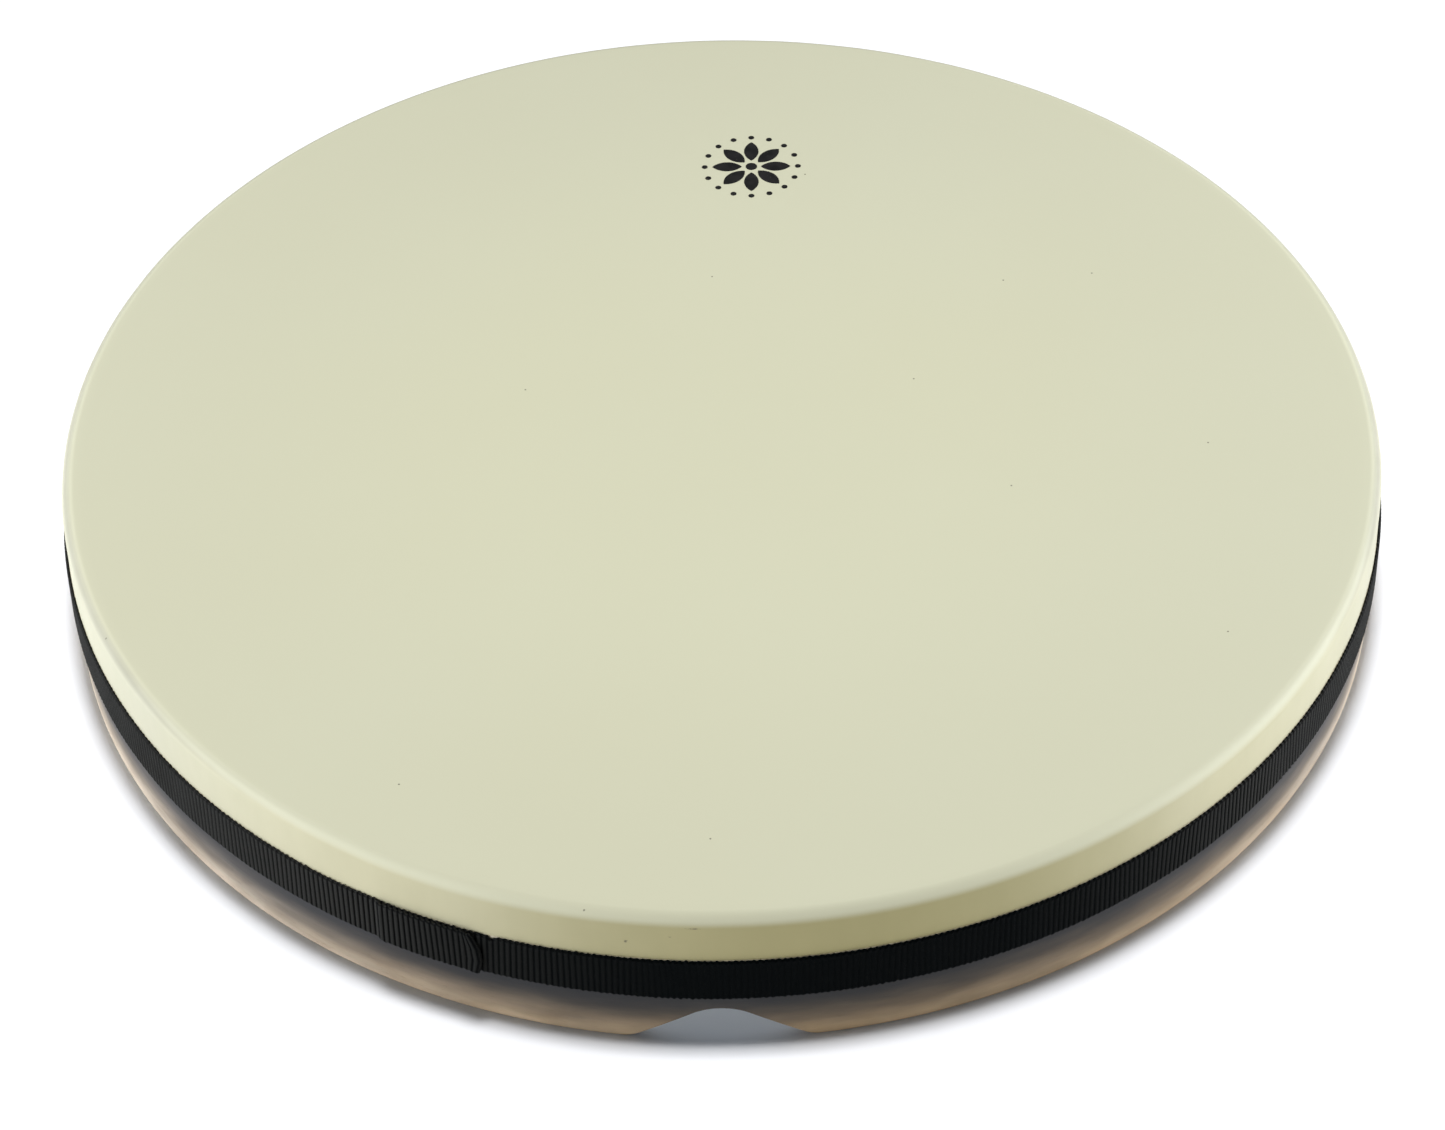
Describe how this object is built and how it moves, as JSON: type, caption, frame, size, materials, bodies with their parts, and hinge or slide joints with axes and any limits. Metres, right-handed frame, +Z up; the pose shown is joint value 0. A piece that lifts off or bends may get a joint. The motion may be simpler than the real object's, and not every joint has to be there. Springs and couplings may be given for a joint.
{
  "type": "frame drum",
  "caption": "Shallow round frame drum: bent plywood hoop with a thumb notch, moulded film head and a woven band round its edge.",
  "frame": {"origin": "centre of the hoop on the plane that its open edge rests on", "axes": "+Z up through the playing surface, -Y towards the thumb notch, +X to the right when facing the notch"},
  "size_m": [0.5632, 0.5632, 0.0699],
  "materials": {
    "shell_veneer": "satin lacquered maple face veneer",
    "ply_light": "bare maple core ply, seen as an edge",
    "ply_dark": "bare crossband ply, seen as an edge",
    "head_film": "cream polyester film, smooth semi-gloss",
    "adhesive": "dried amber contact adhesive",
    "woven_ribbon": "black grosgrain ribbon with upright ribs",
    "print_ink": "black screen-printed ink"
  },
  "bodies": {
    "root": {"outer_face_ply": "shell_veneer", "outer_cross_ply": "ply_dark", "core_ply": "ply_light", "inner_cross_ply": "ply_dark", "inner_face_ply": "shell_veneer", "drumhead": "head_film", "head_glue_line": "adhesive", "band_glue_line": "adhesive", "edge_band": "woven_ribbon", "printed_emblem": "print_ink"}
  },
  "joints": []
}
